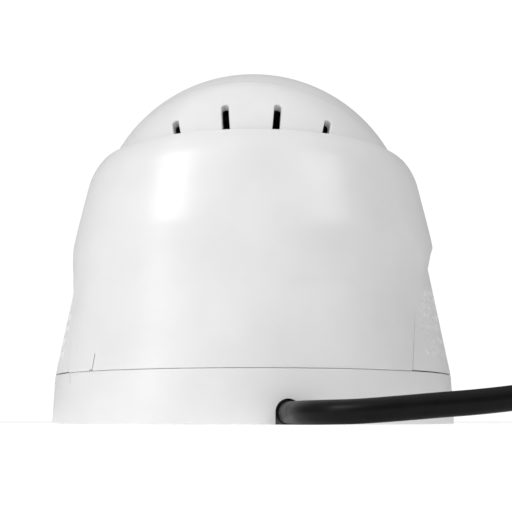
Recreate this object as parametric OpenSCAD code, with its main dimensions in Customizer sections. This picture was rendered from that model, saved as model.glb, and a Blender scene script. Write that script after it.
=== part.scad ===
// Pan and tilt dome camera standing on its base: a fixed base ring, a bell housing
// that pans on it, and a ball head that tilts between two yokes inside the housing.
// Millimetres, +Z up, lens side towards -Y, cable side towards +Y.

/* [Overall] */
// Diameter of the base ring at the floor
base_d = 122; // [110:1:140]
// Height of the seam between the base ring and the turning housing
seam_z = 14.4; // [13:0.2:20]
// Height of the tilt axis above the floor
tilt_axis_z = 60.3; // [56:0.5:72]
// Diameter of the ball head
ball_d = 98.6; // [84:0.2:100]

/* [Base] */
// Wall thickness of the base ring
base_wall = 2.4; // [1.6:0.2:4]
// Draft of the base ring wall from floor to seam
base_draft = 0.6; // [0:0.1:2]
// Diameter of the circle of mounting holes
mount_pcd = 82; // [70:1:90]
// Radius of each mounting hole
mount_hole_r = 2.2; // [1.6:0.1:3]
// Direction of the cable notch, turned from the back towards -X
notch_az = 15.5; // [0:0.5:30]
// Width of the cable notch
notch_w = 6.8; // [6.4:0.1:12]
// Height of the cable notch
notch_h = 6.6; // [6.4:0.1:9]

/* [Housing] */
// Wall thickness of the housing
shell_wall = 2.2; // [1.6:0.1:3]
// Slope of the housing skirt in degrees
skirt_slope = 9.3; // [5:0.1:12]
// Height where the skirt meets the upright waist
waist_z = 37; // [32:0.5:42]
// Radius of the upright waist
waist_r = 56.1; // [55:0.1:60]
// Radius of the shoulder where its curve begins
shoulder_r = 52; // [51.4:0.1:56]
// Height of the shoulder where its curve begins
shoulder_z = 72; // [68:0.5:80]
// Curve radius of the shoulder
shoulder_bend = 18; // [14:0.5:24]
// Height of the rim round the ball at the back
rim_z = 80.8; // [78:0.2:86]
// Curve radius of the rim where it falls towards the front
rim_fall = 320; // [250:5:500]
// Half width of the opening in front of the lens
front_half_w = 24; // [22:0.5:30]
// Height of the lowest point of the front opening
front_low_z = 34; // [30:0.5:40]
// Gap between the ball and the rim
ball_gap = 0.7; // [0.4:0.1:1.5]

/* [Side grilles] */
// Height of the top of each grille arch
arch_top_z = 53.5; // [48:0.5:60]
// Steepness of the grille arch
arch_steep = 0.0048; // [0.004:0.0001:0.007]
// Slope of the grille panel in degrees
panel_slope = 10.5; // [10:0.1:12]
// Thickness of the grille panel
panel_t = 1.5; // [1.2:0.1:2]
// Radius of each grille hole
hole_r = 0.85; // [0.6:0.05:1]
// Spacing of the grille holes
hole_pitch = 3.8; // [3.4:0.1:5]

/* [Ball head] */
// Elevation of the lens at rest
lens_el = 35.3; // [10:0.1:80]
// Wall thickness of the ball shells
head_wall = 2.2; // [1.6:0.1:3]
// Half width between the flat sides of the ball
head_flat_x = 43.5; // [42:0.1:43.8]
// Gap between the turntable and the underside of the head
belly_gap = 1.4; // [0.8:0.1:3]
// Width of each vent slot
slot_w = 2.1; // [1.6:0.1:2.6]
// Angle between the vent slots
slot_step = 18.6; // [16:0.1:21]
// Turn of the vent pattern about the upright axis
slot_turn = 6.2; // [0:0.1:8]
// Radius of the front window
window_r = 19.6; // [17:0.1:20]

/* [Drive] */
// Gear module of the pan drive
pan_module = 1; // [0.9:0.05:1]
// Teeth on the fixed pan gear
pan_teeth = 80; // [78:1:82]
// Gear module of the tilt drive
tilt_module = 0.8; // [0.7:0.05:0.8]
// Teeth on the fixed tilt gear
tilt_teeth = 40; // [36:1:40]
// Teeth on each pinion
pinion_teeth = 12; // [12:1:13]
// Running clearance of the bearings
fit_gap = 0.06; // [0.03:0.01:0.1]

/* [Cable] */
// Diameter of the cable jacket
cable_d = 5.8; // [5:0.1:6]
// Mean radius of the coil of spare cable
coil_r = 32; // [32:1:36]

/* [Hidden] */
$fn = 96;
eps = 0.01;
base_r = base_d / 2;
ball_r = ball_d / 2;
base_top_r = base_r - base_draft;
house_gap = 0.2;
house_z0 = seam_z + house_gap;
skirt_r = base_top_r;
skirt_end_r = skirt_r - (waist_z - house_z0) * tan(skirt_slope);
plate_t = 2;
plate_r = base_r - base_wall - 0.9;
deck_t = 2;
deck_z = seam_z - 3.4 - deck_t;
deck_top = deck_z + deck_t;
table_z = seam_z + 0.6;
table_t = 2.4;
table_top = table_z + table_t;
table_r = skirt_r - shell_wall - 0.9;
race_out_r = 34;
race_mid_r = 30;
race_in_r = 26;
yoke_x = head_flat_x + 3.5;
yoke_t = 2.6;
yoke_half = 7;
axle_r = 4;
bush_r = 6.2;
pan_pitch_r = pan_module * pan_teeth / 2;
pan_pinion_r = pan_module * pinion_teeth / 2;
pan_pinion_y = pan_pitch_r + pan_pinion_r;
tilt_pitch_r = tilt_module * tilt_teeth / 2;
tilt_pinion_r = tilt_module * pinion_teeth / 2;
tilt_orbit = tilt_pitch_r + tilt_pinion_r;
motor_r = 6.8;
motor_x = -sqrt(pow(ball_r - head_wall - 0.3, 2) - pow(tilt_orbit + motor_r, 2));
split_y = 0;
barrel_r = 14;
barrel_wall = 1.5;
led_r = 0.26 * (window_r - barrel_r);
window_y = -sqrt(ball_r * ball_r - window_r * window_r);
rear_start = 30;
belly_end = 114;
slot_top = 73.8;
belly_r = tilt_axis_z - table_top - belly_gap;
// Height of each row of grille holes above the lowest row, as a share of the spacing.
row_rise = [0, 1, 1.95, 2.84, 3.53, 4.13, 4.66];
arch_power = 2.5;
arch_half = pow((arch_top_z - house_z0) / arch_steep, 1 / arch_power);
cable_r = cable_d / 2;
exit_r = base_r - 3;
exit_z = cable_r + 0.2;

// ---- shared shapes ----

function shoulder_point(a) = [
    shoulder_r - shoulder_bend * (cos(12) - cos(a)),
    shoulder_z + shoulder_bend * (sin(a) - sin(12))
];

// Outline of the housing from the seam to the top of the shoulder, as radius and height.
function house_line() = concat(
    [[skirt_r, house_z0], [skirt_end_r, waist_z - 1], [(skirt_end_r + waist_r) / 2, waist_z + 3],
     [waist_r, waist_z + 7.5], [waist_r, tilt_axis_z - 8.3], [waist_r - 0.5, tilt_axis_z - 4.5]],
    [for (a = [12 : 4 : 64]) shoulder_point(a)]
);

// The tapered solid of the housing outline, grown inwards by a wall.
module house_solid(inset) {
    line = house_line();
    last = line[len(line) - 1];
    rotate_extrude($fn = 128)
        polygon(concat(
            [[0, house_z0 - (inset > 0 ? 1 : 0)]],
            [[skirt_r - inset, house_z0 - (inset > 0 ? 1 : 0)]],
            [for (i = [1 : len(line) - 1]) [line[i][0] - inset, line[i][1]]],
            [[last[0] - inset, last[1] + 0.4], [0, last[1] + 0.4]]
        ));
}

// Upright cut that follows the arch of a side grille, on the +X side.
module arch_prism(grow) {
    rotate([90, 0, 90])
        translate([0, 0, 30])
        linear_extrude(base_r - 21)
        polygon(concat(
            [for (i = [-12 : 12])
                let (y = i * arch_half / 12)
                [y * (arch_half + grow) / arch_half, arch_top_z + grow - arch_steep * pow(abs(y), arch_power)]],
            [[arch_half + grow, house_z0 - 4], [-arch_half - grow, house_z0 - 4]]
        ));
}

// A ring of teeth with flat tips, centred on the origin.
module gear_shape(m, teeth, bore) {
    step = 360 / teeth;
    tip = m * teeth / 2 + 0.75 * m;
    root = m * teeth / 2 - 1.05 * m;
    difference() {
        polygon([for (i = [0 : teeth * 4 - 1])
            let (k = i % 4, n = floor(i / 4),
                 off = [-0.26, -0.12, 0.12, 0.26][k],
                 rad = [root, tip, tip, root][k])
            [rad * cos((n + off) * step), rad * sin((n + off) * step)]]);
        circle(bore);
    }
}

// Tube along Z.
module tube(r_out, r_in, z0, z1) {
    translate([0, 0, z0])
        difference() {
            cylinder(r = r_out, h = z1 - z0);
            translate([0, 0, -1])
                cylinder(r = r_in, h = z1 - z0 + 2);
        }
}

// Moves lens coordinates into place: lens looks along -Y here, and is raised by lens_el.
module lens_frame() {
    translate([0, 0, tilt_axis_z])
        rotate([-lens_el, 0, 0])
        children();
}

// Cylinder along the lens, from y0 to y1.
module lens_rod(r, y0, y1) {
    translate([0, y1, 0])
        rotate([90, 0, 0])
        cylinder(r = r, h = y1 - y0);
}

// Half of space on one side of the tilt axis, facing the angle a turned from the lens's back
// over its top.
module half_space(a) {
    rotate([a, 0, 0])
        translate([-90, 0, -90])
        cube([180, 90, 180]);
}

// Hollow ball cut flat at both sides.
module ball_skin() {
    difference() {
        intersection() {
            rotate([0, 90, 0])
                sphere(r = ball_r, $fn = 128);
            cube([2 * head_flat_x, 200, 200], center = true);
        }
        rotate([0, 90, 0])
            sphere(r = ball_r - head_wall, $fn = 128);
    }
}

// ---- base ----

module base_ring() {
    color("white")
    difference() {
        union() {
            rotate_extrude($fn = 128)
                polygon([[base_r - base_wall, 0], [base_r - 0.5, 0], [base_r, 0.6],
                    [base_top_r + 0.05, seam_z - 0.3], [base_top_r - 0.3, seam_z],
                    [base_top_r - base_wall, seam_z], [base_top_r - base_wall, deck_top],
                    [race_out_r, deck_top], [race_out_r, deck_z],
                    [base_r - base_wall, deck_z]]);
            for (a = [45 : 90 : 315])
                rotate([0, 0, a])
                translate([mount_pcd / 2 + 9, 0, plate_t])
                cylinder(r = 3.4, h = deck_z - plate_t + eps);
        }
        for (a = [45 : 90 : 315])
            rotate([0, 0, a])
            translate([mount_pcd / 2 + 9, 0, -1])
            cylinder(r = 1.25, h = deck_z);
        rotate([0, 0, notch_az]) {
            translate([-notch_w / 2, base_r - 8, -1])
                cube([notch_w, 20, notch_h - notch_w / 2 + 1]);
            translate([0, base_r + 12, notch_h - notch_w / 2])
                rotate([90, 0, 0])
                cylinder(r = notch_w / 2, h = 20);
        }
        rotate([0, 0, -51.3])
            translate([-0.15, base_top_r - 0.3, seam_z - 3])
            cube([0.3, 3, 6]);
    }
}

module mounting_plate() {
    color("silver")
    difference() {
        union() {
            cylinder(r = plate_r, h = plate_t);
            for (a = [20, 160, 200, 340])
                rotate([0, 0, a])
                translate([27, 0, plate_t - eps])
                cylinder(r = 2.6, h = 2 + eps);
        }
        for (a = [0 : 90 : 270])
            rotate([0, 0, a])
            translate([mount_pcd / 2, 0, -1])
            cylinder(r = mount_hole_r, h = 4);
        for (a = [45 : 90 : 315])
            rotate([0, 0, a])
            translate([mount_pcd / 2 + 9, 0, -1])
            cylinder(r = 1.6, h = 4);
        for (a = [45 : 90 : 315])
            rotate([0, 0, a])
            translate([mount_pcd / 2 + 9, 0, -eps])
            cylinder(r = 3, h = 1.2 + eps);
        rotate([0, 0, notch_az])
            translate([-6, base_r - 17, -1])
            cube([12, 20, 5]);
    }
}

module base_screws() {
    color("gray")
    for (a = [45 : 90 : 315])
        rotate([0, 0, a])
        translate([mount_pcd / 2 + 9, 0, 0])
        union() {
            difference() {
                cylinder(r = 2.8, h = 1.2);
                translate([0, 0, -eps])
                    cylinder(r = 1.1, h = 0.7, $fn = 6);
            }
            translate([0, 0, 1.2 - eps])
                cylinder(r = 1.25, h = 4.5);
        }
}

module pan_bearing_outer() {
    color("silver")
    difference() {
        tube(race_out_r, race_mid_r, deck_z - 1.4, deck_top + 2.6);
        translate([0, 0, deck_top + 2])
            cylinder(r1 = race_mid_r, r2 = race_mid_r + 0.6 + eps, h = 0.6 + eps);
    }
    color("silver")
        tube(race_mid_r + eps, race_in_r + 0.6, deck_z - 1.4, deck_z - 0.4);
}

module pan_ring_gear() {
    color("ivory")
        translate([0, 0, deck_top])
        rotate([0, 0, 90])
        linear_extrude(2.6)
        gear_shape(pan_module, pan_teeth, race_out_r + 0.4);
}

module main_board() {
    color("green")
    translate([0, 0, plate_t + 2])
    union() {
        difference() {
            cylinder(r = 31, h = 1.4);
            translate([0, 0, -1])
                cylinder(r = 10, h = 4);
        }
        translate([-7, 14, 1.4 - eps])
            cube([12, 10, 1.2]);
        translate([-26, -6, 1.4 - eps])
            cube([8, 10, 1.2]);
    }
}

module cable_gland() {
    color("dimgray")
    rotate([0, 0, notch_az])
    difference() {
        union() {
            translate([-5.4, base_r - 16, 0])
                cube([10.8, 6.4, deck_z]);
            translate([0, base_r - 1.2, exit_z])
                rotate([90, 0, 0])
                cylinder(r1 = cable_r + 0.25, r2 = cable_r + 0.45, h = 9);
        }
        translate([0, base_r + 1, exit_z])
            rotate([90, 0, 0])
            cylinder(r = cable_r - 0.02, h = 30);
        translate([-20, base_r - 30, -10])
            cube([40, 40, 10]);
    }
}

// ---- turning housing ----

module turntable() {
    color("gray")
    difference() {
        union() {
            translate([0, 0, table_z])
                cylinder(r = table_r, h = table_t);
            translate([0, 0, deck_z - 1.2])
                cylinder(r = race_in_r, h = table_z - deck_z + 1.2 + eps);
        }
        translate([0, 0, -1])
            cylinder(r = race_in_r - 3, h = 40);
        translate([0, pan_pinion_y, table_z - 1])
            cylinder(r = 2.1, h = table_t + 2);
    }
}

module pan_bearing_inner() {
    color("silver")
        tube(race_mid_r - fit_gap, race_in_r, deck_z - 0.4 + fit_gap, table_z);
}

module pan_motor() {
    color("dimgray")
    union() {
        translate([0, pan_pinion_y, table_top])
            cylinder(r = 6, h = 7);
        translate([-10, pan_pinion_y - 3, table_top])
            cube([20, 6, 1]);
        translate([-3, pan_pinion_y + 4, table_top + 1])
            cube([6, 3, 3.6]);
    }
}

module pan_pinion() {
    color("ivory")
    union() {
        translate([0, pan_pinion_y, deck_top + 0.5])
            rotate([0, 0, 90 + (pinion_teeth % 2 == 0 ? 180 / pinion_teeth : 0)])
            linear_extrude(2.6)
            gear_shape(pan_module, pinion_teeth, 1);
        translate([0, pan_pinion_y, deck_top + 0.5])
            cylinder(r = 2, h = table_top - deck_top - 0.55);
    }
}

module housing_shell() {
    color("white")
    difference() {
        intersection() {
            union() {
                difference() {
                    house_solid(0);
                    house_solid(shell_wall);
                }
                tube(skirt_r - shell_wall - 0.2 + eps, table_r - 4, table_top, table_top + 1.6);
            }
            translate([-100, shoulder_r - 7, rim_z - rim_fall])
                rotate([0, 90, 0])
                cylinder(r = rim_fall, h = 200, $fn = 256);
        }
        translate([0, 0, tilt_axis_z])
            sphere(r = ball_r + ball_gap, $fn = 128);
        for (s = [0, 180])
            rotate([0, 0, s])
            arch_prism(0);
        front_opening();
        rotate([0, 0, -39.6])
            translate([-0.2, skirt_r - 1.6, house_z0 - 1])
            cube([0.4, 3, 5.6]);
        rotate([0, 0, -40.3])
            translate([-0.8, skirt_r - 0.8, house_z0 - 1])
            cube([1.6, 3, 1.3]);
    }
}

// Opening that lets the lens look out, round at the bottom and open at the top.
module front_opening() {
    translate([0, -20, front_low_z + front_half_w])
        rotate([90, 0, 0])
        cylinder(r = front_half_w, h = 60);
    translate([-front_half_w, -80, front_low_z + front_half_w])
        cube([2 * front_half_w, 60, 60]);
}

// Grille panel on the +X side, with rows of holes and a brow that leans out at the top.
module grille_panel() {
    top_r = skirt_r - (arch_top_z - house_z0) * tan(panel_slope);
    foot_r = skirt_r - 0.05;
    knee_z = arch_top_z - 6.5;
    knee_r = foot_r - (knee_z - house_z0) * tan(panel_slope);
    brow_r = waist_r - 0.4;
    difference() {
        intersection() {
            rotate_extrude($fn = 128)
                polygon([
                    [foot_r - panel_t, house_z0 + 0.05],
                    [foot_r, house_z0 + 0.05],
                    [knee_r, knee_z],
                    [brow_r, arch_top_z],
                    [brow_r - panel_t, arch_top_z],
                    [knee_r - panel_t, knee_z]]);
            arch_prism(-0.08);
        }
        for (row = [0 : len(row_rise) - 1])
            let (z = house_z0 + 5.9 + row_rise[row] * hole_pitch,
                 half = pow(max(0, (arch_top_z - z - 4) / arch_steep), 1 / arch_power),
                 wide = min(27.5, asin(min(0.95, half / (skirt_r - 2.4)))),
                 count = floor(wide / 3.9))
            for (i = [-count : count])
                let (shift = row % 2 == 0 ? 0 : 1.95)
                if (abs(i * 3.9 + shift) < wide)
                    rotate([0, 0, i * 3.9 + shift])
                    translate([top_r - 8, 0, z])
                    rotate([0, 90, 0])
                    cylinder(r = hole_r, h = skirt_r - top_r + 12, $fn = 16);
    }
}

// Lip behind the foot of a grille panel that rests on the turntable.
module grille_lip() {
    intersection() {
        tube(skirt_r - panel_t - 0.6, table_r - 4, table_top, table_top + 1.6);
        arch_prism(-0.5);
    }
}

module grille_right() {
    color("white")
    union() {
        grille_panel();
        grille_lip();
    }
}

module grille_left() {
    color("white")
    rotate([0, 0, 180])
    union() {
        grille_panel();
        grille_lip();
    }
}

module yoke() {
    difference() {
        union() {
            translate([yoke_x, 0, tilt_axis_z])
                rotate([0, 90, 0])
                cylinder(r = 8, h = yoke_t);
            translate([yoke_x, -yoke_half, table_top])
                cube([yoke_t, 2 * yoke_half, tilt_axis_z - table_top]);
            translate([yoke_x - 3, -yoke_half - 3, table_top])
                cube([3 + yoke_t, 2 * yoke_half + 6, 2.4]);
        }
        translate([yoke_x - 1, 0, tilt_axis_z])
            rotate([0, 90, 0])
            cylinder(r = bush_r, h = 10);
    }
}

module yoke_right() {
    color("gray")
        yoke();
}

module yoke_left() {
    color("gray")
        rotate([0, 0, 180])
        yoke();
}

module tilt_bushing() {
    translate([yoke_x, 0, tilt_axis_z])
        rotate([0, 90, 0])
        tube(bush_r, axle_r + fit_gap, 0, yoke_t);
}

module tilt_bushing_right() {
    color("goldenrod")
        tilt_bushing();
}

module tilt_bushing_left() {
    color("goldenrod")
        rotate([0, 0, 180])
        tilt_bushing();
}

module tilt_ring_gear() {
    color("ivory")
        translate([-yoke_x, 0, tilt_axis_z])
        rotate([0, 90, 0])
        linear_extrude(2.4)
        gear_shape(tilt_module, tilt_teeth, bush_r);
}

module speaker() {
    color("dimgray")
    translate([0, -44, table_top])
        union() {
            cylinder(r = 6, h = 3);
            translate([0, 0, 3 - eps])
                cylinder(r = 4.4, h = 1);
        }
}

module control_board() {
    color("green")
    union() {
        translate([-26, 44.4, table_top])
            cube([15, 1.4, 12]);
        translate([-23, 45.8 - eps, table_top + 3])
            cube([8, 1, 6]);
        translate([-25, 42.4, table_top])
            cube([13, 2 + eps, 2]);
    }
}

module housing_screws() {
    color("gray")
    for (a = [50, 130, 230, 310])
        rotate([0, 0, a])
        translate([table_r - 2.2, 0, table_top + 1.6])
        difference() {
            cylinder(r = 1.7, h = 1.3);
            translate([0, 0, 0.8])
                cylinder(r = 0.7, h = 1, $fn = 6);
        }
}

// ---- ball head ----

// Half section of the underside, as place along the tilt axis and distance from it.
module belly_section(ball, barrel, half) {
    intersection() {
        circle(ball, $fn = 128);
        translate([0, -half])
            square([barrel, 2 * half]);
    }
}

module head_frame() {
    color("gray")
    difference() {
        head_frame_solid();
        translate([-head_flat_x - 1, 0, tilt_axis_z - tilt_orbit])
            rotate([0, 90, 0])
            cylinder(r = 1.7, h = 12);
    }
}

module head_frame_solid() {
    translate([motor_x, 0, tilt_axis_z - tilt_orbit])
        rotate([0, -90, 0])
        cylinder(r = 3.4, h = head_flat_x + motor_x - 1);
    lens_frame()
    union() {
        rotate([0, 90, 0])
            rotate([0, 0, 90 - belly_end])
            rotate_extrude(angle = rear_start + belly_end, $fn = 128)
            difference() {
                belly_section(ball_r - 0.05, belly_r, head_flat_x);
                belly_section(ball_r - head_wall, belly_r - 2, head_flat_x - 2);
            }
        for (s = [-1, 1])
            translate([s * (head_flat_x - 2), 0, 0])
            rotate([0, s * 90, 0])
            union() {
                cylinder(r = 17.5, h = 2);
                cylinder(r = axle_r, h = yoke_x + yoke_t - head_flat_x + 2.3);
            }
    }
}

module head_rear_shell() {
    color("white")
    lens_frame()
    difference() {
        intersection() {
            ball_skin();
            translate([-80, split_y, -80])
                cube([160, 160, 160]);
            half_space(rear_start + 90);
        }
        vent_slots();
    }
}

// Slots that run from high on the ball down towards its back.
module vent_slots() {
    low = rear_start + 6;
    high = slot_top - 1.2;
    rotate([lens_el, 0, 0])
        rotate([0, 0, slot_turn])
        rotate([-lens_el, 0, 0])
        for (k = [-1.5, -0.5, 0.5, 1.5])
            rotate([0, k * slot_step, 0])
            union() {
                translate([-slot_w / 2, 0, 0])
                    rotate([90, 0, 90])
                    linear_extrude(slot_w)
                    polygon([[0, 0], [70 * cos(low), 70 * sin(low)],
                        [90 * cos((low + high) / 2), 90 * sin((low + high) / 2)],
                        [70 * cos(high), 70 * sin(high)]]);
                rotate([high, 0, 0])
                    translate([0, ball_r - 8, 0])
                    rotate([-90, 0, 0])
                    cylinder(r = slot_w / 2, h = 12);
            }
}

module head_front_shell() {
    color("white")
    lens_frame()
    difference() {
        intersection() {
            ball_skin();
            half_space(-90 - belly_end);
            translate([-80, split_y - 160, -80])
                cube([160, 160, 160]);
        }
        lens_rod(window_r + 1.8, -70, -10);
    }
}

module lens_bezel() {
    color("dimgray")
    lens_frame()
    difference() {
        intersection() {
            sphere(r = ball_r - 0.1, $fn = 128);
            lens_rod(window_r + 1.8, -70, window_y + 6);
        }
        lens_rod(window_r, -70, 0);
    }
}

module front_window() {
    color("black")
    lens_frame()
    intersection() {
        difference() {
            sphere(r = ball_r - 0.1, $fn = 128);
            sphere(r = ball_r - 2.1, $fn = 128);
        }
        lens_rod(window_r, -70, -10);
    }
}

module lens_barrel() {
    color("black")
    lens_frame()
    difference() {
        union() {
            lens_rod(barrel_r, -40, -6);
            lens_rod(barrel_r + 2.5, -8.4, -6);
        }
        lens_rod(barrel_r - barrel_wall, -41, -4);
    }
}

module front_lens() {
    color("lightblue")
    lens_frame()
    intersection() {
        translate([0, -14, 0])
            sphere(r = 24, $fn = 96);
        lens_rod(barrel_r - barrel_wall, -44, -34);
    }
}

module led_board() {
    color("green")
    lens_frame()
    difference() {
        lens_rod(window_r + 1.8, window_y + 6, window_y + 7.2);
        lens_rod(barrel_r, -60, -10);
    }
}

module infrared_leds() {
    color("mistyrose")
    lens_frame()
    for (a = [30 : 60 : 330])
        rotate([0, a, 0])
        translate([(barrel_r + window_r) / 2, window_y + 6, 0])
        rotate([90, 0, 0])
        union() {
            cylinder(r = led_r, h = 1.2);
            translate([0, 0, 1.2])
                sphere(r = 0.8 * led_r, $fn = 24);
        }
}

module tilt_motor() {
    color("dimgray")
    translate([motor_x, 0, tilt_axis_z - tilt_orbit])
    rotate([0, 90, 0])
    union() {
        cylinder(r = 6, h = 9);
        cylinder(r = motor_r, h = 0.8);
    }
}

module tilt_pinion() {
    color("ivory")
    translate([-head_flat_x - 2.9, 0, tilt_axis_z - tilt_orbit])
    rotate([0, 90, 0])
    union() {
        linear_extrude(2.2)
            rotate([0, 0, (pinion_teeth % 2 == 0 ? 180 / pinion_teeth : 0)])
            gear_shape(tilt_module, pinion_teeth, 0.8);
        cylinder(r = 1.6, h = head_flat_x + motor_x + 2.85);
    }
}

module filter_frame() {
    color("black")
    lens_frame()
    difference() {
        translate([-16, -6, -9])
            cube([32, 4, 18]);
        lens_rod(6, -10, 5);
        translate([-15, -4.6, -6.6])
            cube([30, 1.4, 13.2]);
    }
}

module sensor_board() {
    color("green")
    lens_frame()
    translate([-16, 0, -14])
        cube([32, 1.4, 28]);
}

module image_sensor() {
    color("black")
    lens_frame()
    translate([-6, -2, -5])
        cube([12, 2, 10]);
}

module heat_sink() {
    color("silver")
    lens_frame()
    union() {
        translate([-14, 1.4, -12])
            cube([28, 2.4, 24]);
        for (i = [-2 : 2])
            translate([i * 6 - 1, 3.8 - eps, -12])
            cube([2, 7, 24]);
    }
}

module zoom_motor() {
    color("silver")
    lens_frame()
    translate([barrel_r + 4, 0, 0])
        lens_rod(4, -30, -14);
}

module focus_motor() {
    color("silver")
    lens_frame()
    translate([-barrel_r - 4, 0, 0])
        lens_rod(4, -30, -14);
}

// A ring with a lens in it that slides inside the barrel.
module carrier(y0, y1, bulge) {
    lens_frame()
    union() {
        difference() {
            lens_rod(barrel_r - barrel_wall - fit_gap, y0, y1);
            lens_rod(9, y0 - 1, y1 + 1);
        }
        intersection() {
            lens_rod(9, y0 + 0.2, y1 - 0.2);
            translate([0, y0 - bulge, 0])
                sphere(r = y1 - y0 + bulge, $fn = 64);
        }
    }
}

module zoom_carrier() {
    color("dimgray")
        carrier(-26, -21, 14);
}

module focus_carrier() {
    color("dimgray")
        carrier(-13, -10, 14);
}

module infrared_filter() {
    color("indianred")
    lens_frame()
    translate([-14, -4.5, -6.5])
        cube([21, 1.2, 13]);
}

// ---- cable ----

// Way of the cable: out of the base, along the floor, then up onto the coil.
exit_pos = [-sin(notch_az) * exit_r, cos(notch_az) * exit_r, exit_z];
clear_pos = [-sin(notch_az) * (base_r + 3), cos(notch_az) * (base_r + 3), cable_r + 0.1];
straight_end = [-sin(notch_az) * (base_r + 12), cos(notch_az) * (base_r + 12), cable_r];
cable_points = concat([exit_pos, clear_pos, straight_end], [
    for (step = [
        [-3, 7.2, 0],
        [-8, 12.2, 0],
        [-14.5, 15.2, 0.03],
        [-22.5, 16.5, 0.12],
        [-32.5, 16.7, 0.26],
        [-42.5, 16.3, 0.4],
        [-52.5, 15.6, 0.6],
        [-62.5, 14.4, 0.85],
        [-72.5, 12.9, 1],
        [-82.5, 11.6, 1],
        [-92.5, 10.9, 1]
    ])
    straight_end + [step[0], step[1], step[2] * cable_d]
]);
coil_x = straight_end[0] - 100.5;
coil_y = straight_end[1] + 10.9 - (coil_r - 2.8);

// Way of the cable after the coil: half round it, then straight to the socket.
tail_r = coil_r + 3 * cable_r;
tail_x = coil_x - tail_r;
boot_z = 5.2;
tail_points = concat(
    [for (a = [60 : 15 : 180]) [coil_x + tail_r * cos(a), coil_y + tail_r * sin(a), cable_r]],
    [
        [tail_x, coil_y - 8, cable_r],
        [tail_x, coil_y - 18, cable_r],
        [tail_x, coil_y - 28, cable_r],
        [tail_x, coil_y - 38, cable_r + 0.1],
        [tail_x, coil_y - 47, cable_r + 0.7],
        [tail_x, coil_y - 55, cable_r + 1.7],
        [tail_x, coil_y - 62, boot_z],
        [tail_x, coil_y - 73, boot_z]
    ]
);

// A tube of round section swept through a list of points.
module swept_tube(pts, r, sides) {
    last = len(pts) - 1;
    rings = [for (i = [0 : last])
        let (a = pts[max(i - 1, 0)], b = pts[min(i + 1, last)],
             d = (b - a) / norm(b - a),
             across = [d[1], -d[0], 0] / norm([d[1], -d[0], 0]),
             over = cross(across, d))
        for (k = [0 : sides - 1])
            pts[i] + r * cos(360 * k / sides) * across + r * sin(360 * k / sides) * over];
    polyhedron(
        points = rings,
        faces = concat(
            [[for (k = [0 : sides - 1]) k]],
            [for (i = [0 : last - 1]) for (k = [0 : sides - 1])
                [i * sides + k, (i + 1) * sides + k,
                 (i + 1) * sides + (k + 1) % sides, i * sides + (k + 1) % sides]],
            [[for (k = [sides - 1 : -1 : 0]) last * sides + k]]
        ));
}

module cable() {
    color("black")
        swept_tube(cable_points, cable_r, 12);
}

// Two flat turns side by side.
module cable_coil() {
    color("black")
        translate([coil_x, coil_y, cable_r])
        rotate_extrude()
        union() {
            translate([coil_r - cable_r, 0])
                circle(r = cable_r, $fn = 32);
            translate([coil_r + cable_r, 0])
                circle(r = cable_r, $fn = 32);
            translate([coil_r - cable_r, -1.6])
                square([cable_d, 3.2]);
        }
}

module cable_tail() {
    color("black")
        swept_tube(tail_points, cable_r, 12);
}

module cable_boot() {
    color("black")
        translate([tail_x, coil_y - 61, boot_z])
        rotate([90, 0, 0])
        difference() {
            cylinder(r1 = cable_r + 0.5, r2 = 4.9, h = 16);
            translate([0, 0, -1])
                cylinder(r = cable_r - 0.05, h = 14);
        }
}

module network_socket() {
    color("black")
        translate([tail_x, coil_y - 77, 0])
        difference() {
            translate([-8, -26, 0])
                cube([16, 26, 13.4]);
            translate([-5.9, -27, 3.2])
                cube([11.8, 13, 7]);
            translate([-3, -27, 1.8])
                cube([6, 13, 2]);
        }
}

base_ring();
mounting_plate();
base_screws();
pan_bearing_outer();
pan_ring_gear();
main_board();
cable_gland();
turntable();
pan_bearing_inner();
pan_motor();
pan_pinion();
housing_shell();
grille_left();
grille_right();
yoke_left();
yoke_right();
tilt_bushing_left();
tilt_bushing_right();
tilt_ring_gear();
speaker();
control_board();
housing_screws();
head_frame();
head_rear_shell();
head_front_shell();
lens_bezel();
front_window();
lens_barrel();
front_lens();
led_board();
infrared_leds();
tilt_motor();
tilt_pinion();
filter_frame();
sensor_board();
image_sensor();
heat_sink();
zoom_motor();
focus_motor();
zoom_carrier();
focus_carrier();
infrared_filter();
cable();
cable_coil();
cable_tail();
cable_boot();
network_socket();
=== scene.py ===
"""Pan and tilt dome camera: a round base, a bell housing that pans, and a ball head that tilts."""
from math import asin, cos, degrees, hypot, pi, radians, sin, sqrt, tan

import bpy
from mathutils import Matrix, Vector


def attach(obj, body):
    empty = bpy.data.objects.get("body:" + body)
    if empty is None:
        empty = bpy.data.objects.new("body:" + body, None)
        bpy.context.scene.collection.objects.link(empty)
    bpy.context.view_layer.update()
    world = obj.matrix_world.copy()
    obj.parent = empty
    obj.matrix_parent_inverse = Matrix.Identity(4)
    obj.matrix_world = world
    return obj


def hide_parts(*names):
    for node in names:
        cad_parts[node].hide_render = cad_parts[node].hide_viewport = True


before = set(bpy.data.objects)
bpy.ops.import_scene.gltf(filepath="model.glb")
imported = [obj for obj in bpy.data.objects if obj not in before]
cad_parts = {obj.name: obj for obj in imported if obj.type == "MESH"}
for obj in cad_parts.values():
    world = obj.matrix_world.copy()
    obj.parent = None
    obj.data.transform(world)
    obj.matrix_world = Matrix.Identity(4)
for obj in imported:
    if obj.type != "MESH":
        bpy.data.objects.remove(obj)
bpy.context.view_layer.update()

MM = 0.001

# Sizes shared by the pieces, in millimetres, as the CAD has them.
AXIS_Z = 60.3
BALL_R = 49.3
SKIRT_R = 60.4
SEAM_Z = 14.4
HOUSE_Z0 = 14.6
WALL = 2.2
LENS_TILT = radians(35.3)
NOTCH_TURN = radians(15.5)


# ---------------------------------------------------------------- making shapes

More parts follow.
